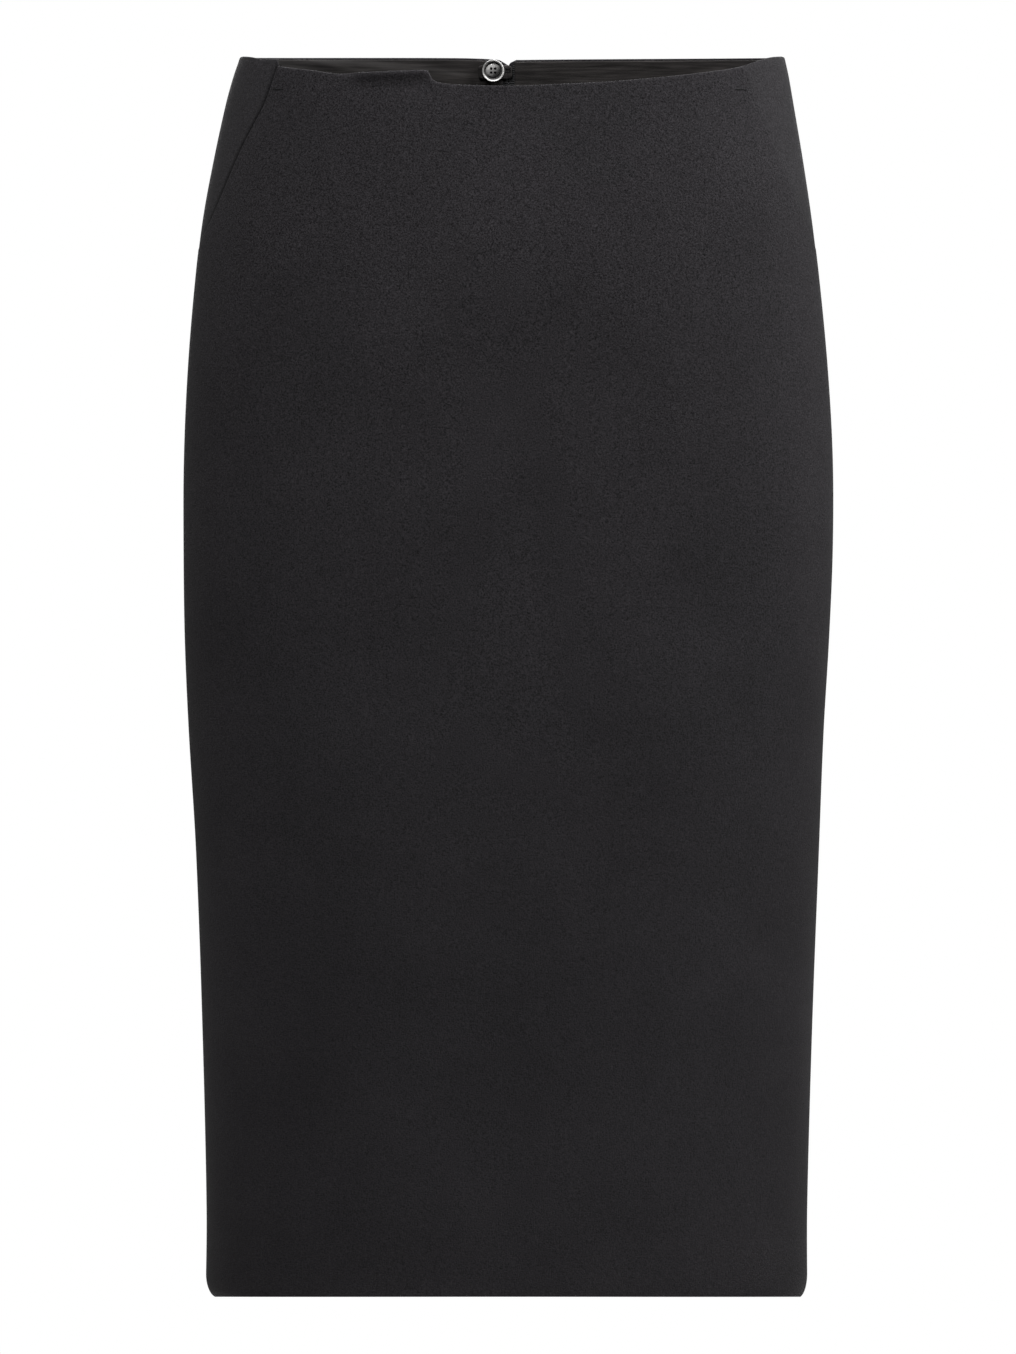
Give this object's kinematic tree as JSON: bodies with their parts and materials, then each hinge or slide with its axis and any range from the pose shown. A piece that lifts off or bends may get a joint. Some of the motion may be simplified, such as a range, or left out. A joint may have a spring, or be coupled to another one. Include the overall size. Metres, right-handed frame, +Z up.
{
  "type": "pencil skirt",
  "caption": "Knee-length black pencil skirt, hollow and filled out, with slanted hip pockets, centre back concealed zip with a buttoned inner tab and a walking slit.",
  "frame": {"origin": "middle of the waist opening, level with the tops of the side seams", "axes": "+Z up along the skirt, -Y the front, +X the wearer's left"},
  "size_m": [0.367, 0.2235, 0.7037],
  "materials": {
    "wool_cloth": "matt black compact wool with a fine crepe grain",
    "facing_cloth": "smooth black facing with a fine crosswise rib and a soft sheen",
    "zip_tape": "black woven zip tape",
    "button_horn": "grey horn-like button, polished face and darker rim wall",
    "zip_metal": "black enamelled zip slider and pull"
  },
  "bodies": {
    "skirt": {"front_panel": "wool_cloth", "back_panel_left": "wool_cloth", "back_panel_right": "wool_cloth", "pocket_bearer_left": "wool_cloth", "pocket_bearer_right": "wool_cloth", "back_facing_left": "facing_cloth", "back_facing_right": "facing_cloth", "button_tab": "facing_cloth", "button": "button_horn", "zip_tape_left": "zip_tape", "zip_tape_right": "zip_tape", "zip_slider": "zip_metal"},
    "pull": {"zip_pull": "zip_metal"}
  },
  "joints": [
    {"name": "pull_swing", "type": "hinge", "parent": "skirt", "child": "pull", "pos_m": [0, 0.0944, -0.0206], "axis": [1, 0, 0], "range_deg": [0, 150]}
  ]
}
